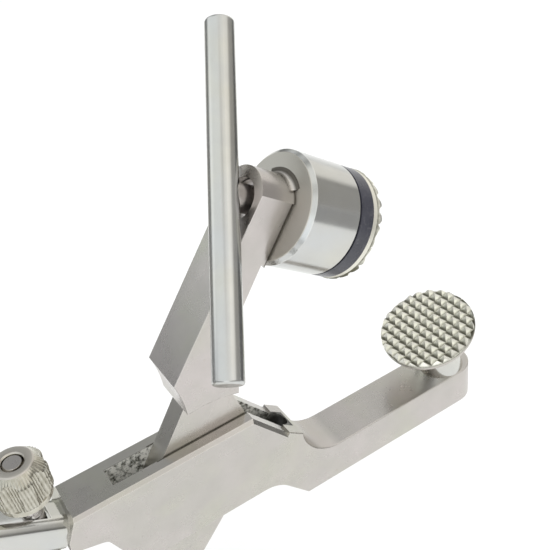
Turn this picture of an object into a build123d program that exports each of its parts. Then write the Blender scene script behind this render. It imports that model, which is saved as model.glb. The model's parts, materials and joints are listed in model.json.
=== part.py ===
"""Bone clamp with a hinged screw jaw, in millimetres.

X runs forward along the body to the jaw tip, Y across the body, Z up.
The two handles, both jaws and the pressure screw lie in the plane Y = 0.
Profiles are drawn from the lever pivot, which sits at (pivot_x, pivot_z).
The origin is under the middle of the clamp, at the height of its lowest point.
"""

import os
from math import atan2, cos, degrees, radians, sin, sqrt

from build123d import *

os.makedirs("parts", exist_ok=True)

# ---- driving dimensions -------------------------------------------------------------------
pivot_x = 31.2
pivot_z = 111.2

half_width = 6.0            # half the thickness of body and lever
slot_half = 2.6             # half the width of the slot in the body
tongue_half = 2.5           # half the thickness of the lever's tongue
running_gap = 0.05          # radial clearance of every turning or sliding fit
past = 1.0                  # how far a cutting tool runs past the face it opens

# body: a block with the box joint, a throat and the fixed jaw's arm
block_top = 13.6
block_bottom = -10.4
block_rear = -32.9
block_front = 11.2
rear_face_low = (-37.2, 4.0)    # the rear face's line, which the upper handle butts against
rear_face_used = 0.62       # how much of that line the body itself covers
neck_tail = (-35.9, 4.6)
neck_corner = (-28.0, 2.3)
neck_fillet = 2.4
heel = (-22.6, block_bottom)
arm_top = -8.9
arm_bottom = -19.7
arm_tip = 78.3
arm_jog = (14.25, block_bottom)     # where the underside steps down to the arm
arm_jog_low = (22.1, arm_bottom)
jog_fillet = 8.2
throat_radius = 10.1
crest = (23.0, 1.2)         # front edge of the block, where the throat begins
facet_low = (19.2, 3.5)     # foot of the steep facet in front of the slot
facet_step = (0.3, 0.45)
edge_break = 0.8
soft_edge = 0.3             # rounding of the other long edges of body and lever
slot_rear_top = -22.5       # where the slot begins at the block's top
slot_rear_slope = 0.3495    # how fast its rear wall leans back on the way down
slot_front = 21.9
slot_end_radius = 2.7

pivot_pin_radius = 3.5
pin_bore_floor = 0.5        # wall left in the near cheek, past the blind end of the pin's bore
pin_short = 1.6

# lever: two cheeks above the body, a tongue through its slot and an eye for the screw
lever_angle = 52.2          # degrees above +X
lever_rear_x = -21.06       # where the lever's rear face would meet the block's top
cheek_radius = 25.36
cheek_front_x = 8.9
cheek_rear = (-3.6, 25.1)
cheek_dip = 0.35            # hollow of the cheek's lower rear edge
step_start = 26.2           # along the lever's rear face, where the wide part begins
front_face = ((43.5, 7.9), (56.2, 7.5))     # ends of the lever's front face, along it and in from its rear
heel_reach = 11.6           # how far the lever's end goes down behind the housing
eye_along = 67.1            # along the rear face, where the screw axis crosses it
hub_radius = 23.5
hub_end_height = 3.0
tongue_rear = (-10.4, 13.6)
tongue_rear_angle = 54.8
tongue_rear_length = 35.4
tongue_front = ((6.8, 28.0), (14.2, 1.1))

# pressure screw; stations run along its axis from the centre of the cross bar
screw_angle = 36.6          # degrees below +X
bar_centre = (16.56, 68.92)
bar_radius = 3.125
bar_length = 75.0
bar_turn = 40.3             # degrees about the screw axis
bar_end_fillet = 0.6
bar_tenon_radius = 1.8
bar_tenon = (-1.2, 3.8)     # stations of the tenon that joins the bar to the screw
lever_face = 4.19
shank_radius = 3.0
shank_start = 1.4
thread_radius = 4.0
screw_end = 25.0
screw_tip_chamfer = 0.6
counterbore_radius = 4.3
counterbore_floor = 7.3
ring_station = 6.1
ring_thickness = 0.8
ring_groove = 2.6
washer_bed = 9.6
washer_thickness = 0.8
collar_room = 5.0
collar_length = 2.0
side_play = 0.2             # loose radial room of collar and retaining ring
bar_notch_reach = 8.0       # half the length of the saddle cut for the bar
lug_radius = 6.7
lug_fillet = 1.5            # fillet on top, between the lug and the housing
lug_fillet_half = 40        # degrees that the fillet spans each side of the top
neck_length = 2.6           # how far the lever's sides round in before they meet the housing
neck_inset = 0.65
neck_top = 3.0              # height above the screw's axis where that rounding starts
pin_chamfer = 0.3

housing_rear = 12.87
housing_front = 26.16
housing_radius = 12.15
housing_chamfer = 0.9
housing_lip = 0.3
housing_floor = 14.4
key_station = 20.0
key_radius = 1.25
key_depth = 1.2             # how far the key reaches into the piston's groove
key_sunk = 0.3
key_play = 0.15
piston_radius = 9.0
piston_start = 14.7
piston_groove_end = 24.5
nose_radius = 6.5
nose_start = 26.46
stem_radius = 2.5
stem_length = 3.2
disc_back = 30.02
teeth_station = 31.5

# toothed pads
pad_radius = 12.25
pad_neck = 11.8             # radius of the upper pad's back edge
pad_rim_top = 11.7          # radius where the rounded rim meets the teeth
pad_rim_mid = 12.1
pad_tilt = 15.8             # degrees, lower pad leaning back
pad_face = (66.23, 5.88)    # centre of the lower pad at the foot of its teeth
pad_back = -3.4             # back of the lower pad, below the foot of its teeth
pad_cone = (9.8, -2.9)      # where the lower pad's bull nose meets its coned back
tooth_pitch = 2.4
tooth_height = 1.6
tooth_land = 0.05           # half the width of a tooth's flat top
stud_radius = 5.8
stud_stock = 20.0           # length before the arm's top face trims it
spigot_radius = 3.0
spigot_length = 7.4
pad_screw_radius = 1.5
pad_screw_head = 3.6
pad_screw_sink = 2.2        # depth of the counterbore under the arm
pad_screw_recess = 0.2      # how deep the head lies in it
pad_screw_end = 5.5         # how far the screw reaches into the stud's spigot
pad_screw_bore = 6.0
hex_socket = (1.25, 1.3)    # corner radius and depth

# upper handle, seen in its own frame: x back from its root, y up
handle_half = 5.0           # half its thickness
grip_edge = 3.0
grip_end_fillet = 4.6
upper_top = ((0, 3.7), (24, 6.3), 92, -36, 30)      # start, end of straight, bend radius and angle, run out
upper_low = ((0, -4.8), (24, -3.5), 90, -33, 33)
upper_tenon_length = 4.5
tenon_half = 2.6
tenon_centre = -0.8         # height above the middle of the rear face
spindle_window = (-51.0, -36.6)     # span of the window for the lock spindle
window_reach = (-5.0, 34.0)
window_play = 0.3

# lower handle, from the pivot: x along it, y up towards the other handle
lower_angle = 52.6          # degrees below -X
lower_edge = -7.38
neck_high = 4.6
tail_start = 31.0           # where the fork begins
tail_end = 48.0
tail_low = -6.6
tail_high = 2.8
fork_end = 72.0
lower_low = ((tail_start, lower_edge), (76, lower_edge), 130, 20, 32)
lower_top = ((tail_start, neck_high), (76, neck_high - 0.5), 117, 20.5, 33)
rivet_radius = 1.75
rivet_places = ((36.5, -1.9), (44.0, -1.9))
spindle_hinge = (65.05, 1.2)
hinge_pin_radius = 1.5

# handle lock
spindle_radius = 2.3
spindle_lean = 1.0          # degrees from vertical
spindle_foot = 2.0
spindle_below_top = 0.7     # how far the spindle's end lies under the nut's top
eye_radius = 4.6
eye_play = 0.1
nut_seat_distance = 71.6
nut_height = 10.2
nut_radius = 6.4
nut_foot_chamfer = 0.5
nut_cone = 2.3
nut_skirt = 1.6             # plain band under the flutes
nut_recess = 0.75
flute_count = 6
flute_radius = 2.6
flute_offset = 1.75         # distance of a flute's centre outside the nut
washer_radius = 5.0
seat_washer_thickness = 1.0
washer_sunk = 0.7           # part of the washer's thickness inside the nut's recess

# ---- planes and directions ----------------------------------------------------------------
side = Plane(origin=(pivot_x, 0, pivot_z), x_dir=(1, 0, 0), z_dir=(0, -1, 0))
screw_dir = Vector(cos(radians(screw_angle)), 0, -sin(radians(screw_angle)))
screw_up = Vector(sin(radians(screw_angle)), 0, cos(radians(screw_angle)))
bar_point = Vector(pivot_x + bar_centre[0], 0, pivot_z + bar_centre[1])
bar_dir = screw_up * cos(radians(bar_turn)) + Vector(0, sin(radians(bar_turn)), 0)


def across_screw(station):
    """Plane square to the pressure screw, a distance along it from the bar's centre."""
    return Plane(origin=bar_point + screw_dir * station, x_dir=(0, 1, 0), z_dir=screw_dir)


def frame_along(point, angle, z_dir=(0, -1, 0)):
    """Plane in Y = 0 with its x axis at this angle in the side view, degrees above +X."""
    direction = (cos(radians(angle)), 0, sin(radians(angle)))
    return Plane(origin=(pivot_x + point[0], 0, pivot_z + point[1]), x_dir=direction, z_dir=z_dir)


def between(start, end, share):
    """Point a share of the way from start to end."""
    return (start[0] + share * (end[0] - start[0]), start[1] + share * (end[1] - start[1]))


screw_frame = frame_along(bar_centre, -screw_angle)
lever_frame = frame_along((lever_rear_x, block_top), lever_angle)
lower_frame = frame_along((0, 0), 180 + lower_angle, z_dir=(0, 1, 0))
rear_face_top = (block_rear, block_top)
rear_face_angle = degrees(atan2(block_top - rear_face_low[1], block_rear - rear_face_low[0])) + 90
upper_frame = frame_along(between(rear_face_top, rear_face_low, 0.5), rear_face_angle, z_dir=(0, 1, 0))

pad_normal = Vector(-sin(radians(pad_tilt)), 0, cos(radians(pad_tilt)))
pad_point = Vector(pivot_x + pad_face[0], 0, pivot_z + pad_face[1])
stud_foot = pad_point - pad_normal * ((pad_face[1] - arm_top) / cos(radians(pad_tilt)))
hinge_point = lower_frame.from_local_coords(Vector(*spindle_hinge, 0))
spindle_dir = Vector(sin(radians(spindle_lean)), 0, cos(radians(spindle_lean)))


def across_pad(height):
    """Plane square to the lower pad's axis, a height above the foot of its teeth."""
    return Plane(origin=pad_point + pad_normal * height, x_dir=(0, 1, 0), z_dir=pad_normal)


def across_spindle(distance):
    """Plane square to the lock spindle, a distance above its hinge pin."""
    return Plane(origin=hinge_point + spindle_dir * distance, x_dir=(0, 1, 0), z_dir=spindle_dir)


def level(height):
    """Horizontal plane on the stud's axis, a height above the pivot."""
    return Plane(origin=(stud_foot.X, 0, pivot_z + height), x_dir=(1, 0, 0), z_dir=(0, 0, 1))


def on_lever(along, depth):
    """Side-view point, along the lever's rear face and in from it."""
    a = radians(lever_angle)
    return (lever_rear_x + along * cos(a) + depth * sin(a), block_top + along * sin(a) - depth * cos(a))


def on_screw(station, height):
    """Side-view point, along the pressure screw from the bar and above its axis."""
    a = radians(screw_angle)
    return (bar_centre[0] + station * cos(a) + height * sin(a),
            bar_centre[1] - station * sin(a) + height * cos(a))


def on_lower(along, height):
    """Side-view point, along the lower handle from the pivot and up towards the other handle."""
    a = radians(lower_angle)
    return (-along * cos(a) - height * sin(a), -along * sin(a) + height * cos(a))


def slot_rear(height):
    """Where the slot's leaning rear wall is at a height above the pivot."""
    return slot_rear_top - slot_rear_slope * (block_top - height)


def save(piece, name):
    piece.part.label = name
    export_step(piece.part, f"parts/{name}.step")


def handle_edges(top, low):
    """Outline of a handle: a straight run and a bend on each edge, closed at both ends."""
    ends = []
    for start, straight_end, bend_radius, bend_angle, run_out in (top, low):
        run = Line(start, straight_end)
        bend = JernArc(run @ 1, run % 1, bend_radius, bend_angle)
        tail = Line(bend @ 1, (bend @ 1) + (bend % 1) * run_out)
        ends.append(tail @ 1)
    Line(ends[0], ends[1])
    Line(top[0], low[0])
    return ends


def nearest(sketch, points):
    """The sketch's corner nearest to each point."""
    return [sketch.vertices().sort_by_distance(point)[0] for point in points]


def side_rims(piece, half, kept):
    """Edges where the piece's outline meets its two flat sides, of those whose centre is kept."""
    on_side = piece.edges().filter_by(lambda e: all(abs(abs((e @ t).Y) - half) < 0.01 for t in (0, 0.5, 1)))
    return on_side.filter_by(lambda e: kept(e.center().X - pivot_x, e.center().Z - pivot_z))


def cut_tooth_grid(plane, reach):
    """V grooves both ways across the face whose tooth feet lie in this plane."""
    groove = tooth_pitch / 2 - tooth_land
    count = int(reach / tooth_pitch)
    for across in (plane.x_dir, plane.y_dir):
        rows = Plane(origin=plane.origin, x_dir=across, z_dir=across.cross(plane.z_dir))
        with BuildSketch(rows) as grooves:
            for i in range(-count, count + 1):
                with Locations((i * tooth_pitch, 0)):
                    Polygon((0, 0), (groove, tooth_height), (groove, tooth_height + past),
                            (-groove, tooth_height + past), (-groove, tooth_height), align=None)
        extrude(grooves.sketch, amount=reach, both=True, mode=Mode.SUBTRACT)


# ---- fixed side: body, handle and lower pad -------------------------------------------------
with BuildPart() as body_frame:
    with BuildSketch(side) as body_outline:
        with BuildLine():
            Polyline((crest[0] + throat_radius, arm_top), (arm_tip, arm_top), (arm_tip, arm_bottom),
                     arm_jog_low, arm_jog, heel, neck_corner, neck_tail,
                     between(rear_face_top, rear_face_low, rear_face_used), rear_face_top,
                     (block_front, block_top), facet_low,
                     (facet_low[0] + facet_step[0], facet_low[1] + facet_step[1]), crest)
            CenterArc((crest[0] + throat_radius, crest[1]), throat_radius, 180, 90)
        make_face()
        fillet(nearest(body_outline, [arm_jog]), radius=jog_fillet)
        fillet(nearest(body_outline, [neck_corner]), radius=neck_fillet)
    extrude(amount=half_width, both=True)
    tip_edges = body_frame.edges().filter_by(Axis.Z).group_by(Axis.X)[-1]
    fillet(tip_edges, radius=half_width - running_gap)
    top_edges = body_frame.edges().filter_by(Axis.X).group_by(Axis.Z)[-1]
    facet_line = Axis((0, 0, 0), (facet_low[0] - block_front, 0, facet_low[1] - block_top))
    chamfer(top_edges + body_frame.edges().filter_by(facet_line), length=edge_break)
    fillet(side_rims(body_frame, half_width, lambda x, z: z < facet_low[1] and x > neck_corner[0]),
           radius=soft_edge)
    with BuildSketch(side):
        Polygon((slot_rear(block_top + past), block_top + past),
                (slot_rear(block_bottom - 3 * past), block_bottom - 3 * past),
                (slot_front - slot_end_radius, arm_bottom - past),
                (slot_front - slot_end_radius, block_top + past), align=None)
    extrude(amount=slot_half, both=True, mode=Mode.SUBTRACT)
    with BuildSketch(Plane.XY.offset(pivot_z + arm_bottom - past)):
        with Locations((pivot_x + slot_front - slot_end_radius, 0)):
            Circle(slot_end_radius)
    extrude(amount=block_top - arm_bottom + 2 * past, mode=Mode.SUBTRACT)
    with BuildSketch(side.offset(-half_width)):
        Circle(pivot_pin_radius)
    extrude(amount=2 * half_width - pin_bore_floor, mode=Mode.SUBTRACT)
    with BuildSketch(upper_frame):
        with Locations((-upper_tenon_length / 2, tenon_centre)):
            Rectangle(upper_tenon_length, 2 * tenon_half)
    extrude(amount=tenon_half, both=True, mode=Mode.SUBTRACT)
    with BuildSketch(level(arm_bottom)):
        Circle(spigot_radius)
    extrude(amount=arm_top - arm_bottom, mode=Mode.SUBTRACT)
    with BuildSketch(level(arm_bottom)):
        Circle(pad_screw_head)
    extrude(amount=pad_screw_sink, mode=Mode.SUBTRACT)
save(body_frame, "body_frame")

with BuildPart() as upper_handle:
    with BuildSketch(upper_frame) as upper_outline:
        with BuildLine():
            handle_ends = handle_edges(upper_top, upper_low)
        make_face()
        fillet(nearest(upper_outline, handle_ends), radius=grip_end_fillet)
    extrude(amount=handle_half, both=True)
    rims = upper_handle.faces().filter_by(Axis.Y).edges()
    fillet(rims.filter_by(lambda e: upper_frame.to_local_coords(e.center()).X > running_gap),
           radius=grip_edge)
    with BuildSketch(upper_frame):
        with Locations((-upper_tenon_length / 2, tenon_centre)):
            Rectangle(upper_tenon_length, 2 * tenon_half)
    extrude(amount=tenon_half, both=True)
    with BuildSketch(side):
        Polygon((spindle_window[1], window_reach[0]), (spindle_window[1], window_reach[1]),
                (spindle_window[0], window_reach[1]), (spindle_window[0], window_reach[0]), align=None)
    extrude(amount=spindle_radius + window_play, both=True, mode=Mode.SUBTRACT)
save(upper_handle, "upper_handle")

with BuildPart() as pivot_pin:
    with BuildSketch(side.offset(-half_width)):
        Circle(pivot_pin_radius)
    extrude(amount=2 * half_width - pin_short)
    chamfer(pivot_pin.edges().sort_by(Axis.Y)[-1], length=pin_chamfer)
save(pivot_pin, "pivot_pin")

with BuildPart() as lower_pad:
    with BuildSketch(frame_along(pad_face, pad_tilt)):
        with BuildLine():
            Polyline(pad_cone, (stud_radius, pad_back), (0, pad_back), (0, tooth_height),
                     (pad_rim_top, tooth_height))
            ThreePointArc((pad_rim_top, tooth_height), (pad_rim_mid, 0.75), (pad_radius, -0.3))
            ThreePointArc((pad_radius, -0.3), (11.7, -1.9), pad_cone)
        make_face()
    revolve(axis=Axis(pad_point, pad_normal))
    cut_tooth_grid(across_pad(0), pad_radius)
save(lower_pad, "lower_pad")

with BuildPart() as lower_pad_stud:
    with BuildSketch(across_pad(pad_back)):
        Circle(stud_radius)
    extrude(amount=-stud_stock)
    split(bisect_by=level(arm_top), keep=Keep.TOP)
    with BuildSketch(level(arm_top)):
        Circle(spigot_radius)
    extrude(amount=-spigot_length)
    with BuildSketch(level(arm_top - spigot_length)):
        Circle(pad_screw_radius)
    extrude(amount=pad_screw_bore, mode=Mode.SUBTRACT)
save(lower_pad_stud, "lower_pad_stud")

with BuildPart() as lower_pad_screw:
    with BuildSketch(level(arm_bottom + pad_screw_recess)):
        Circle(pad_screw_head)
    extrude(amount=pad_screw_sink - pad_screw_recess)
    with BuildSketch(level(arm_bottom + pad_screw_sink)):
        Circle(pad_screw_radius)
    extrude(amount=arm_top - spigot_length + pad_screw_end - arm_bottom - pad_screw_sink)
    with BuildSketch(level(arm_bottom + pad_screw_recess)):
        RegularPolygon(hex_socket[0], 6)
    extrude(amount=hex_socket[1], mode=Mode.SUBTRACT)
save(lower_pad_screw, "lower_pad_screw")

# ---- moving side: lever, lower handle and screw housing ---------------------------------------


def hub_start():
    """Where the tongue's straight rear edge runs into the hub's circle."""
    a = radians(tongue_rear_angle)
    foot = tongue_rear[0] * cos(a) + tongue_rear[1] * sin(a)
    offset = tongue_rear[0] * sin(a) - tongue_rear[1] * cos(a)
    reach = -sqrt(hub_radius ** 2 - offset ** 2)
    return (tongue_rear[0] + (reach - foot) * cos(a), tongue_rear[1] + (reach - foot) * sin(a))


def bearing(point):
    """Angle of a side-view point about the pivot, degrees from 0 to 360."""
    return degrees(atan2(point[1], point[0])) % 360


hub_end = on_lower(sqrt(hub_radius ** 2 - hub_end_height ** 2), hub_end_height)
hub_from = bearing(hub_start())
cheek_from = bearing(cheek_rear)
cheek_to = bearing((cheek_front_x, sqrt(cheek_radius ** 2 - cheek_front_x ** 2)))
tongue_rear_top = (hub_start()[0] + tongue_rear_length * cos(radians(tongue_rear_angle)),
                   hub_start()[1] + tongue_rear_length * sin(radians(tongue_rear_angle)))
cheek_middle = between(on_lever(step_start, 0), cheek_rear, 0.5)
fillet_start = housing_rear - lug_fillet
fillet_middle = (fillet_start + lug_fillet * sin(radians(45)),
                 lug_radius + lug_fillet * (1 - cos(radians(45))))
fillet_up = screw_up * cos(radians(lug_fillet_half)) + Vector(0, sin(radians(lug_fillet_half)), 0)
fillet_plane = Plane(origin=bar_point, x_dir=screw_dir, z_dir=screw_dir.cross(fillet_up))
neck_start = housing_rear - neck_length
neck_end = half_width - neck_inset
neck_middle = (housing_rear - neck_length / 2, half_width - neck_inset / 4)

with BuildPart() as jaw_lever:
    with BuildSketch(side) as lever_outline:
        with BuildLine():
            cheek = CenterArc((0, 0), cheek_radius, cheek_to, cheek_from - cheek_to)
            Polyline(cheek @ 0, on_lever(*front_face[0]), on_lever(*front_face[1]),
                     on_screw(housing_rear, -heel_reach), on_screw(housing_rear, 0),
                     on_lever(eye_along, 0), on_lever(step_start, 0))
            ThreePointArc(on_lever(step_start, 0), (cheek_middle[0] + cheek_dip, cheek_middle[1]), cheek @ 1)
        make_face()
    extrude(amount=half_width, both=True)
    fillet(side_rims(jaw_lever, half_width, lambda x, z: True), radius=soft_edge)
    with BuildSketch(across_screw(housing_rear)):
        Circle(lug_radius)
        Rectangle(2 * half_width, 2 * lug_radius, mode=Mode.INTERSECT)
    extrude(amount=lever_face - housing_rear - 2 * past)
    with BuildSketch(fillet_plane):
        with BuildLine():
            Polyline((fillet_start, 0), (fillet_start, lug_radius))
            ThreePointArc((fillet_start, lug_radius), fillet_middle, (housing_rear, lug_radius + lug_fillet))
            Polyline((housing_rear, lug_radius + lug_fillet), (housing_rear, 0), (fillet_start, 0))
        make_face()
    revolve(axis=Axis(bar_point, screw_dir), revolution_arc=2 * lug_fillet_half)
    with BuildSketch(Plane(origin=bar_point + screw_up * neck_top, x_dir=screw_dir, z_dir=screw_up)) as neck:
        with BuildLine():
            Polyline((housing_rear, neck_end), (housing_rear, half_width + past),
                     (neck_start, half_width + past), (neck_start, half_width))
            ThreePointArc((neck_start, half_width), neck_middle, (housing_rear, neck_end))
        make_face()
        mirror(about=Plane.XZ)
    extrude(amount=-2 * housing_radius, mode=Mode.SUBTRACT)
    lever_rear = Plane(origin=lever_frame.origin, x_dir=(0, 1, 0), z_dir=-lever_frame.y_dir)
    split(bisect_by=lever_rear, keep=Keep.TOP)
    with BuildSketch(side):
        with BuildLine():
            Polyline(hub_start(), tongue_rear_top, *tongue_front, on_lower(tail_start, lower_edge),
                     on_lower(tail_start, tail_low), on_lower(tail_end, tail_low),
                     on_lower(tail_end, tail_high), on_lower(tail_start, tail_high),
                     on_lower(tail_start, neck_high), hub_end)
            CenterArc((0, 0), hub_radius, bearing(hub_end), hub_from - bearing(hub_end))
        make_face()
    extrude(amount=tongue_half, both=True)
    with BuildSketch(side):
        Circle(pivot_pin_radius + running_gap)
    extrude(amount=half_width, both=True, mode=Mode.SUBTRACT)
    with BuildSketch(lower_frame):
        with Locations(*rivet_places):
            Circle(rivet_radius)
    extrude(amount=half_width, both=True, mode=Mode.SUBTRACT)
    for radius, start, end in ((counterbore_radius, 0, counterbore_floor),
                               (shank_radius + running_gap, counterbore_floor, washer_bed),
                               (collar_room, washer_bed, housing_rear)):
        with BuildSketch(across_screw(start)):
            Circle(radius)
        extrude(amount=end - start, mode=Mode.SUBTRACT)
save(jaw_lever, "jaw_lever")

with BuildPart() as lower_handle:
    with BuildSketch(lower_frame) as lower_outline:
        with BuildLine():
            handle_ends = handle_edges(lower_top, lower_low)
        make_face()
        fillet(nearest(lower_outline, handle_ends), radius=grip_end_fillet)
    extrude(amount=half_width, both=True)
    rims = lower_handle.faces().filter_by(Axis.Y).edges()
    fillet(rims.filter_by(lambda e: lower_frame.to_local_coords(e.center()).X > tail_start + running_gap),
           radius=grip_edge)
    with BuildSketch(lower_frame):
        with Locations(((tail_start - past + fork_end) / 2, 0)):
            Rectangle(fork_end - tail_start + past, 5 * half_width)
    extrude(amount=tongue_half, both=True, mode=Mode.SUBTRACT)
    with BuildSketch(lower_frame):
        with Locations(*rivet_places):
            Circle(rivet_radius)
        with Locations(spindle_hinge):
            Circle(hinge_pin_radius)
    extrude(amount=half_width, both=True, mode=Mode.SUBTRACT)
save(lower_handle, "lower_handle")

with BuildPart() as lower_handle_rivets:
    with BuildSketch(lower_frame):
        with Locations(*rivet_places):
            Circle(rivet_radius)
    extrude(amount=half_width, both=True)
    chamfer(lower_handle_rivets.edges().filter_by(GeomType.CIRCLE), length=pin_chamfer)
save(lower_handle_rivets, "lower_handle_rivets")

with BuildPart() as spindle_pin:
    with BuildSketch(lower_frame):
        with Locations(spindle_hinge):
            Circle(hinge_pin_radius)
    extrude(amount=half_width, both=True)
    chamfer(spindle_pin.edges().filter_by(GeomType.CIRCLE), length=pin_chamfer)
save(spindle_pin, "spindle_pin")

screw_axis = Axis(bar_point, screw_dir)
key_plane = Plane(origin=bar_point + screw_dir * key_station, z_dir=(0, 1, 0))


def widest_rims(piece):
    """The piece's largest circular edges, in order along the pressure screw."""
    circles = piece.edges().filter_by(GeomType.CIRCLE)
    return circles.group_by(SortBy.RADIUS)[-1].sort_by(screw_axis)


with BuildPart() as screw_housing:
    with BuildSketch(across_screw(housing_rear)):
        Circle(housing_radius)
        Circle(collar_room, mode=Mode.SUBTRACT)
    extrude(amount=housing_front - housing_rear)
    chamfer(widest_rims(screw_housing)[0], length=housing_chamfer)
    chamfer(widest_rims(screw_housing)[-1], length=housing_lip)
    with BuildSketch(across_screw(housing_floor)):
        Circle(piston_radius)
    extrude(amount=housing_front - housing_floor, mode=Mode.SUBTRACT)
    with BuildSketch(key_plane):
        Circle(key_radius)
    extrude(amount=housing_radius, mode=Mode.SUBTRACT)
save(screw_housing, "screw_housing")

with BuildPart() as housing_key_pin:
    with BuildSketch(key_plane.offset(piston_radius - key_depth)):
        Circle(key_radius)
    extrude(amount=housing_radius - piston_radius + key_depth - key_sunk)
save(housing_key_pin, "housing_key_pin")

with BuildPart() as thrust_washer:
    with BuildSketch(across_screw(washer_bed)):
        Circle(collar_room - 2 * running_gap)
        Circle(shank_radius + 2 * running_gap, mode=Mode.SUBTRACT)
    extrude(amount=washer_thickness)
save(thrust_washer, "thrust_washer")

# ---- pressure screw and its cross bar ----------------------------------------------------------
collar_start = washer_bed + washer_thickness + running_gap
ring_end = ring_station + ring_thickness

with BuildPart() as drive_screw:
    for radius, start, end in ((shank_radius, shank_start, ring_station),
                               (ring_groove, ring_station, ring_end),
                               (shank_radius, ring_end, collar_start),
                               (collar_room - side_play, collar_start, collar_start + collar_length),
                               (thread_radius, collar_start + collar_length, screw_end)):
        with BuildSketch(across_screw(start)):
            Circle(radius)
        extrude(amount=end - start)
    chamfer(drive_screw.edges().filter_by(GeomType.CIRCLE).sort_by(screw_axis)[-1], length=screw_tip_chamfer)
    with BuildSketch(Plane(origin=bar_point, z_dir=bar_dir)):
        Circle(bar_radius)
    extrude(amount=bar_notch_reach, both=True, mode=Mode.SUBTRACT)
    with BuildSketch(across_screw(bar_tenon[0])):
        Circle(bar_tenon_radius)
    extrude(amount=bar_tenon[1] - bar_tenon[0])
save(drive_screw, "drive_screw")

with BuildPart() as t_bar:
    with BuildSketch(Plane(origin=bar_point, z_dir=bar_dir)):
        Circle(bar_radius)
    extrude(amount=bar_length / 2, both=True)
    fillet(t_bar.edges().filter_by(GeomType.CIRCLE), radius=bar_end_fillet)
    with BuildSketch(across_screw(bar_tenon[0])):
        Circle(bar_tenon_radius)
    extrude(amount=bar_tenon[1] - bar_tenon[0], mode=Mode.SUBTRACT)
save(t_bar, "t_bar")

with BuildPart() as retaining_ring:
    with BuildSketch(across_screw(ring_station)):
        Circle(counterbore_radius - side_play)
        Circle(ring_groove, mode=Mode.SUBTRACT)
    extrude(amount=ring_thickness)
save(retaining_ring, "retaining_ring")

# ---- pressure pad: keyed piston, black cushion ring and toothed disc ---------------------------
with BuildPart() as pad_piston:
    with BuildSketch(across_screw(piston_start)):
        Circle(piston_radius - running_gap)
    extrude(amount=nose_start - piston_start)
    with BuildSketch(across_screw(nose_start)):
        Circle(nose_radius)
    extrude(amount=disc_back - nose_start)
    with BuildSketch(across_screw(piston_start)):
        Circle(thread_radius + running_gap)
    extrude(amount=screw_end + housing_lip - piston_start, mode=Mode.SUBTRACT)
    with BuildSketch(across_screw(disc_back)):
        Circle(stem_radius)
    extrude(amount=-stem_length, mode=Mode.SUBTRACT)
    groove_middle = (piston_start - past + piston_groove_end) / 2
    groove_floor = Plane(origin=bar_point + screw_dir * groove_middle, x_dir=screw_dir, z_dir=(0, 1, 0))
    with BuildSketch(groove_floor.offset(piston_radius - key_depth - key_play)):
        Rectangle(piston_groove_end - piston_start + past, 2 * (key_radius + running_gap))
    extrude(amount=3 * past, mode=Mode.SUBTRACT)
save(pad_piston, "pad_piston")

with BuildPart() as cushion_ring:
    with BuildSketch(across_screw(nose_start)):
        Circle(housing_radius - running_gap)
        Circle(nose_radius, mode=Mode.SUBTRACT)
    extrude(amount=disc_back - nose_start)
save(cushion_ring, "cushion_ring")

with BuildPart() as upper_pad:
    with BuildSketch(screw_frame):
        with BuildLine():
            Polyline((teeth_station + 0.3, pad_radius), (disc_back, pad_neck), (disc_back, stem_radius),
                     (disc_back - stem_length, stem_radius), (disc_back - stem_length, 0),
                     (teeth_station + tooth_height, 0), (teeth_station + tooth_height, pad_rim_top))
            ThreePointArc((teeth_station + tooth_height, pad_rim_top), (teeth_station + 0.95, pad_rim_mid),
                          (teeth_station + 0.3, pad_radius))
        make_face()
    revolve(axis=screw_axis)
    cut_tooth_grid(across_screw(teeth_station), pad_radius)
save(upper_pad, "upper_pad")

# ---- handle lock: spindle, washer and knurled nut ----------------------------------------------
hinge_plane = Plane(origin=hinge_point, z_dir=(0, 1, 0))

with BuildPart() as lock_spindle:
    with BuildSketch(hinge_plane):
        Circle(eye_radius)
    extrude(amount=tongue_half - eye_play, both=True)
    with BuildSketch(across_spindle(spindle_foot)):
        Circle(spindle_radius)
    extrude(amount=nut_seat_distance + nut_height - spindle_below_top - spindle_foot)
    with BuildSketch(hinge_plane):
        Circle(hinge_pin_radius + running_gap)
    extrude(amount=half_width, both=True, mode=Mode.SUBTRACT)
save(lock_spindle, "lock_spindle")

with BuildPart() as seat_washer:
    with BuildSketch(across_spindle(nut_seat_distance + washer_sunk - seat_washer_thickness)):
        Circle(washer_radius)
        Circle(spindle_radius + running_gap, mode=Mode.SUBTRACT)
    extrude(amount=seat_washer_thickness)
save(seat_washer, "seat_washer")

nut_profile = Plane(origin=hinge_point + spindle_dir * nut_seat_distance,
                    x_dir=(spindle_dir.Z, 0, -spindle_dir.X), z_dir=(0, -1, 0))

with BuildPart() as lock_nut:
    with BuildSketch(nut_profile):
        with BuildLine():
            Polyline((0, 0), (nut_radius - nut_foot_chamfer, 0), (nut_radius, nut_foot_chamfer),
                     (nut_radius, nut_height - nut_cone), (nut_radius - nut_cone, nut_height),
                     (0, nut_height), close=True)
        make_face()
    revolve(axis=Axis(hinge_point, spindle_dir))
    with BuildSketch(across_spindle(nut_seat_distance)):
        Circle(spindle_radius + running_gap)
    extrude(amount=nut_height, mode=Mode.SUBTRACT)
    with BuildSketch(across_spindle(nut_seat_distance)):
        Circle(washer_radius + 2 * running_gap)
    extrude(amount=nut_recess, mode=Mode.SUBTRACT)
    with BuildSketch(across_spindle(nut_seat_distance + nut_skirt)):
        with PolarLocations(nut_radius + flute_offset, flute_count):
            Circle(flute_radius)
    extrude(amount=nut_height, mode=Mode.SUBTRACT)
save(lock_nut, "lock_nut")
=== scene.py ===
"""Looks of a steel bone clamp with a hinged screw jaw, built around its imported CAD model.

Everything is in metres, in the frame of the CAD model: X runs forward along the body to the
jaw tip, Y across the body and Z up. Lengths written as 3 * MM are millimetres.
"""

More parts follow.
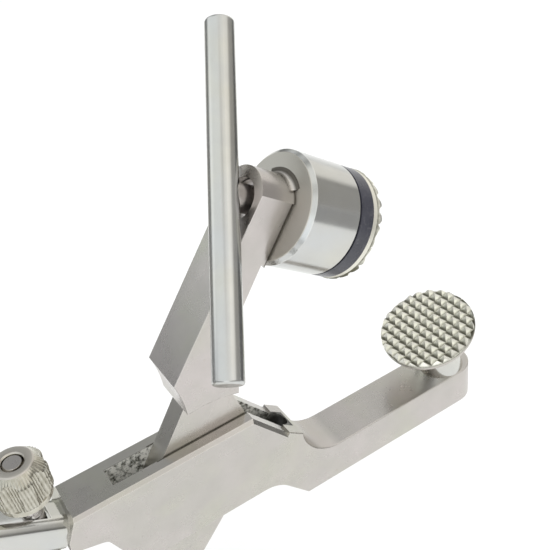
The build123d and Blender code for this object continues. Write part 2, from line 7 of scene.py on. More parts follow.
import json
from math import cos, pi, radians, sin, sqrt

import bmesh
import bpy
from mathutils import Matrix, Vector


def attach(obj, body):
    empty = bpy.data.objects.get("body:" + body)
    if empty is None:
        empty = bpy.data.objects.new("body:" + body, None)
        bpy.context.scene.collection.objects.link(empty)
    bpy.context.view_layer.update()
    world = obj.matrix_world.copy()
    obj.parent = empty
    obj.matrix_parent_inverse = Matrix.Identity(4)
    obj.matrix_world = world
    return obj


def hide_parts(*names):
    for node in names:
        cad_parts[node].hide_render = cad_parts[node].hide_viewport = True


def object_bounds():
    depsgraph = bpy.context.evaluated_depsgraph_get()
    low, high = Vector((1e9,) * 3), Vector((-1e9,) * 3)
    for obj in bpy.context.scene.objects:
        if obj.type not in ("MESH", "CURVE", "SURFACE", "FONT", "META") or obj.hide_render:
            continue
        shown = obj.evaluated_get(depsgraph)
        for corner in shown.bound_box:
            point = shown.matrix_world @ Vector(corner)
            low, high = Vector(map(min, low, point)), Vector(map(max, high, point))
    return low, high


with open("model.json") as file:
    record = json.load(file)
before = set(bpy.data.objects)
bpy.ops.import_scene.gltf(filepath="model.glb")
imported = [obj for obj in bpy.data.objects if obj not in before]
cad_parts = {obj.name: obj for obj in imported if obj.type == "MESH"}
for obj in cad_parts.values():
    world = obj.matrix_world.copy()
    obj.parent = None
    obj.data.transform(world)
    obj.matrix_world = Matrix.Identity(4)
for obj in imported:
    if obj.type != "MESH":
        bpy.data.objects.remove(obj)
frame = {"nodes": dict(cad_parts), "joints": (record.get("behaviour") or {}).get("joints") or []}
cad_low, cad_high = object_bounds()

MM = 0.001
ACROSS = Vector((0, 1, 0))
PAD_TILT = -15.8            # degrees that the lower pad leans back, about Y
LEVER_RUN = Vector((0.61, 0, 0.79))         # the way the lever is brushed
BAR_RUN = Vector((0.45, 0.65, 0.61))        # the way the T-bar lies

# ---- places taken from the frame ---------------------------------------------------------------
joints = {joint["name"]: joint for joint in frame["joints"]}
pivot = Vector(joints["lever_pivot"]["pos_m"])
screw_axis = Vector(joints["screw_turn"]["axis"]).normalized()
bar_centre = Vector(joints["screw_turn"]["pos_m"])
spindle_hinge = Vector(joints["spindle_swing"]["pos_m"])
spindle_axis = -Vector(joints["nut_travel"]["axis"]).normalized()
screw_up = Vector((-screw_axis.z, 0, screw_axis.x))
pad_axis = Matrix.Rotation(radians(PAD_TILT), 3, "Y") @ Vector((0, 0, 1))


def axis_frame(point, direction):
    """Matrix with its origin at the point, its Z axis along the direction and its Y axis across the body."""
    x = ACROSS.cross(direction).normalized()
    matrix = Matrix((x, ACROSS, direction)).transposed().to_4x4()
    matrix.translation = point
    return matrix


def reach(node, direction):
    """Lowest and highest place of a CAD node along a direction."""
    places = [vertex.co.dot(direction) for vertex in frame["nodes"][node].data.vertices]
    return min(places), max(places)


# ---- camera ------------------------------------------------------------------------------------
CAMERA_FROM_PIVOT = Vector((-44.1, -134.0, 157.6)) * MM
CAMERA_AZIMUTH = -27.26     # degrees, 0 looks along +Y
CAMERA_ELEVATION = 36.88
CAMERA_ROLL = 8.74
SENSOR = 36.0               # width and focal length in camera millimetres
LENS = 57.56
CLIP = (0.005, 20)


def add_camera():
    azimuth, elevation = radians(CAMERA_AZIMUTH), radians(CAMERA_ELEVATION)
    back = Vector((sin(azimuth) * cos(elevation), -cos(azimuth) * cos(elevation), sin(elevation)))
    data = bpy.data.cameras.new("camera")
    data.lens, data.sensor_width = LENS, SENSOR
    data.clip_start, data.clip_end = CLIP
    camera = bpy.data.objects.new("camera", data)
    level = (-back).to_track_quat("-Z", "Y").to_matrix()
    roll = Matrix.Rotation(radians(-CAMERA_ROLL), 3, "Z")
    camera.matrix_world = Matrix.Translation(pivot + CAMERA_FROM_PIVOT) @ (level @ roll).to_4x4()
    bpy.context.scene.collection.objects.link(camera)
    bpy.context.scene.camera = camera


# ---- studio ------------------------------------------------------------------------------------
HORIZON_GREY = 0.22
DOME_WHITE = 1.06
DOME_FADE = (0.09, 0.56)    # sines of the elevations where the horizon's grey ends and the white begins
WARM_SIDE = 115             # azimuth of the sky's warm side
WARM_FADE = (-0.5, 0.7)     # cosines off that azimuth where the cool sky ends and the warm sky begins
COOL_WHITE = (0.955, 0.985, 1.0, 1)
WARM_WHITE = (1.0, 0.98, 0.94, 1)
# soft areas of the sky: azimuth from +Y towards +X, elevation, outer and inner radius in degrees, level
SKY_AREAS = ((8, 48, 28, 8, 0.36), (34, 46, 14, 5, 0.86), (62, 12, 26, 14, 1.0), (114, 3, 32, 22, 0.42),
             (172, 16, 22, 10, 0.5), (148, 47, 20, 8, 1.28), (-44, 19, 16, 8, 1.3), (-142, 15, 28, 14, 1.3),
             (-165, 73, 12, 3, 0.80))
# cards on the floor that only reflections see: azimuths, distances from the pivot, level
FLOOR_CARDS = ((62, 112, 0.30, 6.0, 0.15), (114, 146, 0.52, 6.0, 0.42), (-66, -4, 0.42, 6.0, 0.30))
CARD_LIFT = 1 * MM
FLOOR_HALF = 6.0
FLOOR_WHITE = (0.9, 0.9, 0.9, 1)
FLOOR_ROUGHNESS = 0.9
FLOOR_LIGHT_FROM_PIVOT = Vector((0, -0.2, 1.6))
FLOOR_LIGHT_SIZE = 2.0
FLOOR_LIGHT_WATTS = 14.0
# sockets of a Mix node that share their names, so they go by number
MIX_NUMBERS, MIX_NUMBER = (2, 3), 0
MIX_COLOURS, MIX_COLOUR = (6, 7), 2


def sky_direction(azimuth, elevation=0.0):
    a, e = radians(azimuth), radians(elevation)
    return Vector((sin(a) * cos(e), cos(a) * cos(e), sin(e)))


def link_mesh(name, vertices, faces, material):
    mesh = bpy.data.meshes.new(name)
    mesh.from_pydata(vertices, [], faces)
    mesh.materials.append(material)
    thing = bpy.data.objects.new(name, mesh)
    bpy.context.scene.collection.objects.link(thing)
    return thing


def add_floor_light():
    """A wide light overhead that keeps the floor white and that steel doesn't mirror."""
    data = bpy.data.lights.new("floor_light", "AREA")
    data.shape, data.size, data.size_y = "RECTANGLE", FLOOR_LIGHT_SIZE, FLOOR_LIGHT_SIZE
    data.energy = FLOOR_LIGHT_WATTS
    light = bpy.data.objects.new("floor_light", data)
    light.location = pivot + FLOOR_LIGHT_FROM_PIVOT
    light.rotation_mode = "QUATERNION"
    light.rotation_quaternion = (-FLOOR_LIGHT_FROM_PIVOT).to_track_quat("-Z", "Y")
    light.visible_glossy = False
    bpy.context.scene.collection.objects.link(light)


def add_floor():
    material = bpy.data.materials.new("studio_floor")
    material.use_nodes = True
    shader = material.node_tree.nodes["Principled BSDF"]
    shader.inputs["Base Color"].default_value = FLOOR_WHITE
    shader.inputs["Roughness"].default_value = FLOOR_ROUGHNESS
    corners = [(x * FLOOR_HALF, y * FLOOR_HALF, cad_low.z) for x, y in ((-1, -1), (1, -1), (1, 1), (-1, 1))]
    link_mesh("studio_floor", corners, [(0, 1, 2, 3)], material)


def add_floor_cards():
    """Grey cards that give round polished steel its dark bands, and light or shade nothing."""
    foot = Vector((pivot.x, pivot.y, cad_low.z + CARD_LIFT))
    for number, (start, end, near, far, level) in enumerate(FLOOR_CARDS):
        material = bpy.data.materials.new(f"studio_card_{number}")
        material.use_nodes = True
        shader = material.node_tree.nodes["Principled BSDF"]
        shader.inputs["Base Color"].default_value = (0, 0, 0, 1)
        shader.inputs["Specular IOR Level"].default_value = 0
        shader.inputs["Emission Color"].default_value = (1, 1, 1, 1)
        shader.inputs["Emission Strength"].default_value = level
        corners = [foot + sky_direction(azimuth) * distance
                   for azimuth, distance in ((start, near), (start, far), (end, far), (end, near))]
        card = link_mesh(f"studio_card_{number}", corners, [(0, 1, 2, 3)], material)
        card.visible_camera = card.visible_diffuse = card.visible_shadow = False


def add_world():
    """A white dome that fades to a grey horizon, cool on one side and warm on the other, with soft areas."""
    world = bpy.data.worlds.new("studio")
    world.use_nodes = True
    tree = world.node_tree
    sky = tree.nodes.new("ShaderNodeTexCoord").outputs["Generated"]
    background = tree.nodes["Background"]

    def ramp(value, low, high, to_low, to_high):
        node = tree.nodes.new("ShaderNodeMapRange")
        node.interpolation_type = "SMOOTHSTEP"
        tree.links.new(value, node.inputs["Value"])
        for name, number in (("From Min", low), ("From Max", high), ("To Min", to_low), ("To Max", to_high)):
            node.inputs[name].default_value = number
        return node.outputs[0]

    def towards(direction):
        node = tree.nodes.new("ShaderNodeVectorMath")
        node.operation = "DOT_PRODUCT"
        node.inputs[1].default_value = direction
        tree.links.new(sky, node.inputs[0])
        return node.outputs["Value"]

    strength = ramp(towards((0, 0, 1)), *DOME_FADE, HORIZON_GREY, DOME_WHITE)
    for azimuth, elevation, outer, inner, level in SKY_AREAS:
        area = ramp(towards(sky_direction(azimuth, elevation)), cos(radians(outer)), cos(radians(inner)),
                    0.0, 1.0)
        blend = tree.nodes.new("ShaderNodeMix")
        tree.links.new(area, blend.inputs["Factor"])
        tree.links.new(strength, blend.inputs[MIX_NUMBERS[0]])
        blend.inputs[MIX_NUMBERS[1]].default_value = level
        strength = blend.outputs[MIX_NUMBER]
    tree.links.new(strength, background.inputs["Strength"])

    tint = tree.nodes.new("ShaderNodeMix")
    tint.data_type = "RGBA"
    for socket, white in zip(MIX_COLOURS, (COOL_WHITE, WARM_WHITE)):
        tint.inputs[socket].default_value = white
    warm = ramp(towards(sky_direction(WARM_SIDE)), *WARM_FADE, 0.0, 1.0)
    tree.links.new(warm, tint.inputs["Factor"])
    tree.links.new(tint.outputs[MIX_COLOUR], background.inputs["Color"])
    bpy.context.scene.world = world


# ---- materials ---------------------------------------------------------------------------------
class Shader:
    """A material with one Principled shader, and short calls to add nodes to it."""

    def __init__(self, name):
        self.material = bpy.data.materials.new(name)
        self.material.use_nodes = True
        self.tree = self.material.node_tree
        self.surface = self.tree.nodes["Principled BSDF"]
        self.place = self.add("ShaderNodeTexCoord").outputs["Object"]

    def add(self, kind, values=None, **settings):
        node = self.tree.nodes.new(kind)
        for key, value in settings.items():
            setattr(node, key, value)
        for key, value in (values or {}).items():
            self.put(node.inputs[key], value)
        return node

    def put(self, socket, value):
        if isinstance(value, bpy.types.NodeSocket):
            self.tree.links.new(value, socket)
        else:
            socket.default_value = value

    def set(self, **values):
        for key, value in values.items():
            self.put(self.surface.inputs[key.replace("_", " ")], value)

    def math(self, operation, first, second=0.0, third=0.0):
        return self.add("ShaderNodeMath", {0: first, 1: second, 2: third}, operation=operation).outputs[0]

    def product(self, *factors):
        result = factors[0]
        for factor in factors[1:]:
            result = self.math("MULTIPLY", result, factor)
        return result

    def between(self, value, low, high):
        """1 where the value lies between the two, and 0 elsewhere."""
        return self.product(self.math("GREATER_THAN", value, low), self.math("LESS_THAN", value, high))

    def dot(self, first, second):
        node = self.add("ShaderNodeVectorMath", {0: first, 1: second}, operation="DOT_PRODUCT")
        return node.outputs["Value"]

    def along(self, direction, origin=(0, 0, 0)):
        """Distance of the shaded point from the origin, along a direction."""
        offset = self.add("ShaderNodeVectorMath", {0: self.place, 1: origin}, operation="SUBTRACT")
        return self.dot(offset.outputs[0], direction)

    def noise(self, size, detail=2.0, roughness=0.5, place=None, distortion=0.0):
        """Noise from 0 to 1 whose blobs are about this size, in metres."""
        values = {"Vector": place or self.place, "Scale": 1 / size, "Detail": detail,
                  "Roughness": roughness, "Distortion": distortion}
        return self.add("ShaderNodeTexNoise", values).outputs["Fac"]

    def streaked(self, direction, stretch):
        """Coordinates squeezed along a direction, so that noise on them makes streaks that way."""
        rotation = Vector(direction).rotation_difference(Vector((1, 0, 0))).to_euler()
        turned = self.add("ShaderNodeMapping", {"Vector": self.place, "Rotation": rotation})
        return self.add("ShaderNodeMapping", {"Vector": turned.outputs[0],
                                              "Scale": (1 / stretch, 1, 1)}).outputs[0]

    def remap(self, value, start, end):
        """0 up to the start, 1 past the end, and straight between them; the end may be the lower one."""
        values = {"Value": value, "From Min": start, "From Max": end}
        return self.add("ShaderNodeMapRange", values, clamp=True).outputs[0]

    def mix(self, share, first, second):
        """Two colours mixed by the second one's share; a colour is three numbers or a socket."""
        node = self.add("ShaderNodeMix", data_type="RGBA")
        self.put(node.inputs["Factor"], share)
        for socket, colour in zip(MIX_COLOURS, (first, second)):
            self.put(node.inputs[socket], (*colour, 1) if isinstance(colour, tuple) else colour)
        return node.outputs[MIX_COLOUR]

    def bump(self, height, depth, strength):
        values = {"Height": height, "Distance": depth, "Strength": strength}
        return self.add("ShaderNodeBump", values).outputs["Normal"]

    def edges(self, radius):
        """1 on the part's edges and 0 on its faces, within a radius."""
        bevel = self.add("ShaderNodeBevel", {"Radius": radius}, samples=4)
        face = self.add("ShaderNodeNewGeometry").outputs["Normal"]
        return self.remap(self.dot(bevel.outputs[0], face), 0.995, 0.93)


SATIN = (0.535, 0.515, 0.485)
SATIN_TINTS = ((0.54, 0.535, 0.465), (0.585, 0.545, 0.53))
SATIN_ROUGHNESS = 0.25
POLISHED = (0.62, 0.615, 0.585)
POLISHED_TINTS = ((0.64, 0.63, 0.56), (0.59, 0.60, 0.60))
SPECK_BROWN = (0.40, 0.34, 0.24)
BLOTCH_SIZES = (15 * MM, 26 * MM)
CLOUD_SIZE = 5 * MM
SPECK_SIZE = 2.3 * MM
SMUDGE_SIZE = 11 * MM
FINE_LINE, WIDE_LINE = 0.16 * MM, 0.7 * MM
LINE_STRETCH = 40           # how many times longer than wide a brushed line is
GRAIN_SIZE = 0.22 * MM
GRAIN_DEPTH = 0.005 * MM
GRAIN_STRENGTH = 0.25
# radius of the edges that are worn smoother and brightened in colour as a painted highlight
WORN_AND_HIGHLIT_EDGE = 0.35 * MM


def steel(name, colour, tints, roughness, grain_direction, streaks=0.5, smudges=0.06, detail=None):
    """Stainless steel: blotchy tints, brushed streaks, fine grain, smudges, specks, and worn edges that are
    also brightened in colour as a painted highlight.

    A detail function may change the base, the roughness and the height, and give the metallic value.
    """
    shader = Shader(name)
    base = colour
    for tint, size in zip(tints, BLOTCH_SIZES):
        blotches = shader.noise(size, detail=3.0, distortion=0.4)
        base = shader.mix(shader.remap(blotches, 0.42, 0.66), base, tint)
    clouds = shader.remap(shader.noise(CLOUD_SIZE, detail=4.0, roughness=0.6), 0.35, 0.75)
    base = shader.mix(shader.math("MULTIPLY", clouds, 0.4), base, tuple(c * 0.86 for c in colour))
    specks = shader.remap(shader.noise(SPECK_SIZE), 0.72, 0.86)
    base = shader.mix(shader.math("MULTIPLY", specks, 0.35), base, SPECK_BROWN)
    lines = shader.streaked(grain_direction, LINE_STRETCH)
    fine_lines = shader.noise(FINE_LINE, place=lines)
    wide_lines = shader.noise(WIDE_LINE, detail=3.0, place=lines)
    # edges: a little smoother from wear, and lighter in colour as a painted highlight
    worn_and_highlit_edge = shader.edges(WORN_AND_HIGHLIT_EDGE)
    base = shader.mix(shader.math("MULTIPLY", worn_and_highlit_edge, 0.55), base, tuple(min(1, c * 1.4) for c in colour))
    smudge = shader.remap(shader.noise(SMUDGE_SIZE, detail=5.0, roughness=0.65, distortion=0.6), 0.4, 0.7)
    rough = shader.math("MULTIPLY_ADD", smudge, smudges, roughness)
    rough = shader.math("MULTIPLY_ADD", wide_lines, 0.05 * streaks, rough)
    rough = shader.math("MULTIPLY_ADD", worn_and_highlit_edge, -0.06, rough)
    height = shader.math("MULTIPLY_ADD", fine_lines, streaks, shader.noise(GRAIN_SIZE))
    metal = 1.0
    if detail:
        base, rough, height, metal = detail(shader, base, rough, height)
    normal = shader.bump(height, GRAIN_DEPTH, GRAIN_STRENGTH)
    shader.set(Base_Color=base, Metallic=metal, Roughness=rough, Normal=normal)
    return shader.material


# the body's slot, and the seams where its top meets the lever's tongue, which get painted shade, measured
# from the pivot
SLOT_HALF = 2.8 * MM
SLOT_SPAN = (-33 * MM, 22.2 * MM)
SLOT_TOP = 13.5 * MM
# depths for the painted shade inside the slot
SLOT_SHADE = (5 * MM, 12 * MM)          # depths where the wall starts to darken and where it is black
SLOT_RELIEF = 40.0                      # height of the cut wall against the steel's grain
SEAM_SHADE_HALF = 2.9 * MM
SEAM_SHADE_SPAN = (-12 * MM, 11 * MM)


def rough_slot(shader, base, rough, height):
    """The body's slot: a coarse cut wall speckled pale and dark, with painted shade that darkens it towards
    the bottom until it is black, and painted shade along the seams at its top.
    """
    across = shader.math("ABSOLUTE", shader.along(ACROSS))
    along = shader.along((1, 0, 0), pivot)
    depth = shader.along((0, 0, -1), pivot + Vector((0, 0, SLOT_TOP)))
    inside = shader.product(shader.math("LESS_THAN", across, SLOT_HALF), shader.between(along, *SLOT_SPAN),
                            shader.math("GREATER_THAN", depth, 0.0))
    coarse = shader.noise(1.1 * MM, detail=4.0, roughness=0.7)
    wall = shader.mix(shader.remap(coarse, 0.38, 0.56), (0.10, 0.10, 0.08), (0.86, 0.85, 0.80))
    # painted shade: the wall grows darker with depth into the slot
    wall = shader.mix(shader.remap(depth, *SLOT_SHADE), wall, (0.03, 0.03, 0.025))
    base = shader.mix(inside, base, wall)
    # painted shade along the seams where the slot's top edges meet the lever's tongue
    seam = shader.product(shader.math("LESS_THAN", across, SEAM_SHADE_HALF), shader.math("LESS_THAN", depth, 0.0),
                          shader.between(along, *SEAM_SHADE_SPAN))
    base = shader.mix(shader.math("MULTIPLY", seam, 0.75), base, (0.06, 0.055, 0.035))
    rough = shader.math("MULTIPLY_ADD", inside, 0.2, rough)
    height = shader.math("MULTIPLY_ADD", shader.math("MULTIPLY", coarse, inside), SLOT_RELIEF, height)
    return base, rough, height, shader.math("MULTIPLY_ADD", inside, -0.8, 1.0)


def housing_seam_shade(shader, base, rough, height):
    """Painted shade in the seam where the lever's end meets the screw housing."""
    seam = reach("screw_housing", screw_axis)[0]
    short_of = shader.math("SUBTRACT", seam, shader.along(screw_axis))
    off_axis = shader.math("ABSOLUTE", shader.along(screw_up, bar_centre))
    darkening = shader.product(shader.remap(short_of, 0.55 * MM, 0.20 * MM),
                          shader.math("LESS_THAN", off_axis, 15 * MM),
                          shader.math("GREATER_THAN", short_of, -0.05 * MM))
    # painted shade: the lever darkens close to the housing's rear face
    base = shader.mix(shader.math("MULTIPLY", darkening, 0.85), base, (0.07, 0.06, 0.045))
    return base, shader.math("MULTIPLY_ADD", darkening, 0.25, rough), height, 1.0


def turned_face(shader, base, rough, height):
    """The housing's rear face is satin, and its side stays bright."""
    seam = reach("screw_housing", screw_axis)[0]
    face = shader.math("LESS_THAN", shader.along(screw_axis), seam + 0.15 * MM)
    base = shader.mix(face, base, (0.57, 0.55, 0.50))
    return base, shader.math("MULTIPLY_ADD", face, 0.24, rough), height, 1.0


def satin_material(name, grain_direction, detail=None):
    return steel(name, SATIN, SATIN_TINTS, SATIN_ROUGHNESS, grain_direction, detail=detail)


def polished_material(name, grain_direction, roughness=0.10, detail=None):
    return steel(name, POLISHED, POLISHED_TINTS, roughness, grain_direction, streaks=0.7, smudges=0.05,
                 detail=detail)


TOOTH_CREAM = (1.0, 0.99, 0.90)
# colour of the painted shade in the tooth valleys and on one side of the teeth
TOOTH_SHADE = (0.13, 0.125, 0.085)
VALLEY_SHADE = (1.5 * MM, 2.5 * MM)           # ragged depths under the tips where the painted shade starts and where it is full
SIDE_SHADE = (0.15, 0.45)                  # turn to the shaded side where the painted shade starts and where it is full
RIM_START = 1.95 * MM


def toothed_material(name, node, axis, rim):
    """Blasted teeth: cream, with painted shade that darkens them to olive brown in the valleys and on one
    side of every tooth.
    """
    tips = reach(node, axis)[1]
    shade_side = ACROSS.cross(axis)

    def valley_and_side_shade(shader, base, rough, height):
        depth = shader.math("SUBTRACT", tips, shader.along(axis))
        ragged = shader.math("MULTIPLY_ADD", shader.noise(0.8 * MM, detail=3.0), 0.9 * MM, depth)
        low = shader.remap(ragged, *VALLEY_SHADE)
        normal = shader.add("ShaderNodeTexCoord").outputs["Normal"]
        side = shader.remap(shader.dot(normal, shade_side), *SIDE_SHADE)
        # painted shade: olive brown deep in the valleys and on one side of every tooth
        base = shader.mix(shader.math("MAXIMUM", low, side), TOOTH_CREAM, TOOTH_SHADE)
        base = shader.mix(shader.math("GREATER_THAN", depth, RIM_START), base, rim)
        return base, shader.math("MULTIPLY_ADD", low, 0.10, rough), height, 0.85

    return steel(name, SATIN, SATIN_TINTS, 0.30, (1, 0, 0), detail=valley_and_side_shade)


def knurled_material():
    """Worn knurling: pale crests, darker olive down between them, and a plain turned top."""
    top = reach("lock_nut", spindle_axis)[1]

    def turned_top(shader, base, rough, height):
        darkening = shader.add("ShaderNodeAttribute", attribute_name="darkening").outputs["Fac"]
        clouds = shader.remap(shader.noise(1.8 * MM, detail=5.0, roughness=0.65), 0.34, 0.70)
        base = shader.mix(clouds, (0.44, 0.42, 0.35), (0.66, 0.64, 0.57))
        # darker olive down in the grooves between the knurls
        base = shader.mix(shader.math("MULTIPLY", darkening, 0.8), base, (0.13, 0.12, 0.08))
        depth = shader.math("SUBTRACT", top, shader.along(spindle_axis))
        flat = shader.math("LESS_THAN", depth, 0.25 * MM)
        base = shader.mix(flat, base, (0.56, 0.53, 0.48))
        return base, shader.math("MULTIPLY_ADD", flat, 0.08, rough), height, 1.0

    return steel("knurled_steel", SATIN, SATIN_TINTS, 0.22, (0, 0, 1), detail=turned_top)


def black_material():
    """Black polymer with cloudy shine and pale scuffs."""
    shader = Shader("black_polymer")
    cloud = shader.noise(3 * MM, detail=4.0)
    scuffs = shader.remap(shader.noise(0.9 * MM, detail=4.0, distortion=1.0), 0.55, 0.7)
    colour = shader.mix(cloud, (0.030, 0.032, 0.044), (0.062, 0.062, 0.080))
    colour = shader.mix(shader.math("MULTIPLY", scuffs, 0.35), colour, (0.16, 0.155, 0.165))
    grain = shader.bump(shader.noise(0.25 * MM), 0.01 * MM, 0.4)
    rough = shader.math("MULTIPLY_ADD", cloud, 0.12, 0.22)
    shader.set(Base_Color=colour, Metallic=0.0, Roughness=rough, Normal=grain)
    return shader.material


def assign(material, *nodes):
    """The material alone on all of each CAD node."""
    for node in nodes:
        mesh = frame["nodes"][node].data
        mesh.materials.clear()
        mesh.materials.append(material)
        for polygon in mesh.polygons:
            polygon.material_index = 0


def paint_cad():
    """Satin steel on every CAD node, then the nodes that differ."""
    along_body = Vector((1, 0, 0))
    assign(satin_material("satin_steel", along_body), *frame["nodes"])
    assign(satin_material("body_steel", along_body, rough_slot), "body_frame")
    assign(satin_material("lever_steel", LEVER_RUN, housing_seam_shade), "jaw_lever")
    assign(polished_material("polished_steel", along_body), "upper_handle", "lower_handle", "lower_pad_stud")
    assign(polished_material("housing_steel", screw_axis, 0.13, turned_face), "screw_housing")
    assign(polished_material("bar_steel", BAR_RUN, 0.19), "t_bar")
    assign(toothed_material("lower_teeth", "lower_pad", pad_axis, (0.56, 0.53, 0.49)), "lower_pad")
    assign(toothed_material("upper_teeth", "upper_pad", screw_axis, (0.80, 0.78, 0.70)), "upper_pad")
    assign(black_material(), "cushion_ring")


# ---- detailed pieces ---------------------------------------------------------------------------
def circle(radius, count):
    """Points around a circle, as pairs."""
    return [(radius * cos(2 * pi * i / count), radius * sin(2 * pi * i / count)) for i in range(count)]


def ringed_mesh(name, rings, closed, material, smooth_angle=35):
    """Object skinned over rings of equally many points, the last ring joined to the first if closed."""
    count = len(rings[0])
    vertices = [point for ring in rings for point in ring]
    faces = []
    for i in range(len(rings) if closed else len(rings) - 1):
        here, there = i * count, (i + 1) % len(rings) * count
        faces += [(here + j, here + (j + 1) % count, there + (j + 1) % count, there + j)
                  for j in range(count)]
    if not closed:
        faces += [tuple(reversed(range(count))), tuple(range(len(vertices) - count, len(vertices)))]
    thing = link_mesh(name, vertices, faces, material)
    mesh = bmesh.new()
    mesh.from_mesh(thing.data)
    bmesh.ops.recalc_face_normals(mesh, faces=mesh.faces)
    for face in mesh.faces:
        face.smooth = True
    for edge in mesh.edges:
        edge.smooth = edge.calc_face_angle(0) < radians(smooth_angle)
    mesh.to_mesh(thing.data)
    mesh.free()
    return thing


NUT_RADIUS = 6.4 * MM
NUT_HEIGHT = 10.2 * MM
NUT_CONE = 2.3 * MM
NUT_BORE = 2.36 * MM
NUT_RECESS = (5.12 * MM, 0.75 * MM)     # radius and depth of the washer's recess
NUT_COLLAR = 5.75 * MM
NUT_SKIRT = 1.5 * MM
NUT_LOBES = 6
NUT_FLUTE = (8.15 * MM, 2.75 * MM)      # distance of a flute's centre and its radius
KNURL_COUNT = 54
KNURL_DEPTH = 0.24 * MM
KNURL_STEPS = 4                         # points that one knurl is drawn with
KNURL_ROWS = 9
KNURL_TWIST = 1.5                       # knurls that the pattern turns by over the nut's height


def nut_outline(angle):
    """Radius of the lobed nut at an angle."""
    off = ((angle * NUT_LOBES / (2 * pi) + 0.5) % 1.0 - 0.5) * 2 * pi / NUT_LOBES
    centre, flute = NUT_FLUTE
    under = flute ** 2 - (centre * sin(off)) ** 2
    return min(NUT_RADIUS, centre * cos(off) - sqrt(under)) if under > 0 else NUT_RADIUS


def nut_rows():
    """Rows of the nut's surface: height, plain radius or None, inset of the lobes, and knurl's share."""
    cone_start, top_radius = NUT_HEIGHT - NUT_CONE, NUT_RADIUS - NUT_CONE
    knurl_start = NUT_SKIRT + 0.5 * MM
    row_gap = (cone_start - 0.3 * MM - knurl_start) / KNURL_ROWS
    recess, recess_depth = NUT_RECESS
    rows = [(recess_depth, NUT_BORE, 0, 0), (recess_depth, recess, 0, 0), (0, recess, 0, 0),
            (0, NUT_COLLAR - 0.3 * MM, 0, 0), (0.3 * MM, NUT_COLLAR, 0, 0), (NUT_SKIRT, NUT_COLLAR, 0, 0),
            (NUT_SKIRT + 0.1 * MM, None, 0.5 * MM, 0), (knurl_start, None, 0.1 * MM, 1)]
    rows += [(knurl_start + i * row_gap, None, 0, 1) for i in range(1, KNURL_ROWS + 1)]
    rows += [(cone_start + t * NUT_CONE, None, t * NUT_CONE, 1 - t) for t in (0.05, 0.25, 0.5, 0.75, 0.92)]
    rows += [(NUT_HEIGHT - 0.05 * MM, top_radius + 0.05 * MM, 0, 0),
             (NUT_HEIGHT, top_radius - 0.1 * MM, 0, 0), (NUT_HEIGHT, NUT_BORE + 0.3 * MM, 0, 0),
             (NUT_HEIGHT - 0.3 * MM, NUT_BORE, 0, 0)]
    return rows


def make_nut():
    """The lobed, knurled lock nut, around the washer's recess and the spindle's bore."""
    low = reach("lock_nut", spindle_axis)[0]
    foot = spindle_hinge + spindle_axis * (low - spindle_hinge.dot(spindle_axis))
    place = axis_frame(foot, spindle_axis)
    samples = KNURL_COUNT * KNURL_STEPS
    rings, darkening = [], []
    for height, plain, inset, knurled in nut_rows():
        ring = []
        for i in range(samples):
            angle = 2 * pi * i / samples
            groove = abs(2 * ((i / KNURL_STEPS + KNURL_TWIST * height / NUT_HEIGHT) % 1.0) - 1) * knurled
            radius = plain
            if plain is None:
                radius = min(nut_outline(angle), NUT_RADIUS - inset) - KNURL_DEPTH * groove
            ring.append(place @ Vector((radius * cos(angle), radius * sin(angle), height)))
            # how deep in a groove each point lies, for the darker olive between the knurls
            darkening.append(groove ** 2)
        rings.append(ring)
    nut = ringed_mesh("knurled_nut", rings, True, knurled_material())
    nut.data.attributes.new("darkening", "FLOAT", "POINT").data.foreach_set("value", darkening)
    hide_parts("lock_nut")
    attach(nut, "nut")


SPINDLE_RADIUS = 2.3 * MM
SPINDLE_PROUD = 0.55 * MM               # past the end of the CAD node
SPINDLE_CHAMFER = 0.5 * MM
SPINDLE_SIDES = 32
THREAD_PITCH = 1.25 * MM
THREAD_DEPTH = 0.42 * MM
THREAD_START = 22 * MM                  # above the hinge pin
THREAD_END_GAP = 0.6 * MM               # under the rod's end
THREAD_STEPS = 8                        # rings in one turn of the thread
EYE_RADIUS = 4.6 * MM
EYE_BORE = 1.56 * MM
EYE_HALF = 2.4 * MM
EYE_CHAMFER = 0.5 * MM
EYE_SIDES = 64


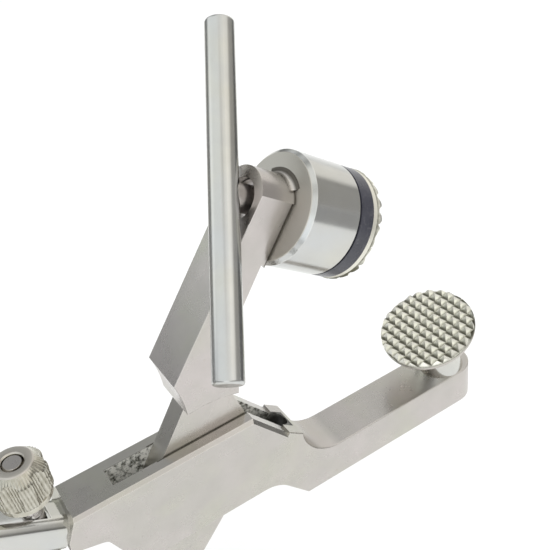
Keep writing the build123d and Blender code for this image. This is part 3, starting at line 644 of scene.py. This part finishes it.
def make_spindle(material):
    """The threaded rod of the lock spindle."""
    top = reach("lock_spindle", spindle_axis)[1] - spindle_hinge.dot(spindle_axis) + SPINDLE_PROUD
    place = axis_frame(spindle_hinge, spindle_axis)
    thread_rings = int((top - THREAD_END_GAP - THREAD_START) / THREAD_PITCH * THREAD_STEPS)
    heights = [EYE_RADIUS - 1.2 * MM, THREAD_START - 2 * MM, THREAD_START - 0.5 * MM]
    heights += [THREAD_START + i * THREAD_PITCH / THREAD_STEPS for i in range(thread_rings + 1)]
    heights += [top - SPINDLE_CHAMFER, top - 0.05 * MM, top]
    rings = []
    for height in heights:
        run_in = min(1.0, max(0.0, (height - THREAD_START) / (2 * THREAD_PITCH)))
        run_out = min(1.0, max(0.0, (top - height) / SPINDLE_CHAMFER))
        ring = []
        for i, (x, y) in enumerate(circle(1, SPINDLE_SIDES)):
            wave = abs(2 * ((height / THREAD_PITCH - i / SPINDLE_SIDES) % 1.0) - 1)
            radius = SPINDLE_RADIUS - THREAD_DEPTH * (wave * run_in * run_out + (1 - run_out))
            ring.append(place @ Vector((radius * x, radius * y, height)))
        rings.append(ring)
    rod = ringed_mesh("threaded_spindle", rings, False, material, smooth_angle=50)
    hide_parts("lock_spindle")
    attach(rod, "spindle")


def make_eye(material):
    """The eye at the spindle's foot, which turns on the hinge pin."""
    profile = [(EYE_BORE, EYE_HALF - 0.2 * MM), (EYE_BORE + 0.2 * MM, EYE_HALF),
               (EYE_RADIUS - EYE_CHAMFER, EYE_HALF),
               (EYE_RADIUS - 0.15 * EYE_CHAMFER, EYE_HALF - 0.3 * EYE_CHAMFER),
               (EYE_RADIUS, EYE_HALF - EYE_CHAMFER)]
    profile += [(radius, -offset) for radius, offset in reversed(profile)]
    rings = [[spindle_hinge + Vector((x, offset, z)) for x, z in circle(radius, EYE_SIDES)]
             for radius, offset in profile]
    eye = ringed_mesh("spindle_eye", rings, True, material)
    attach(eye, "spindle")


# ---- the scene ---------------------------------------------------------------------------------
add_camera()
add_floor()
add_floor_cards()
add_world()
add_floor_light()
paint_cad()
make_nut()
spindle_steel = satin_material("spindle_steel", spindle_axis)
make_spindle(spindle_steel)
make_eye(spindle_steel)

bpy.context.scene.view_settings.view_transform = "Standard"
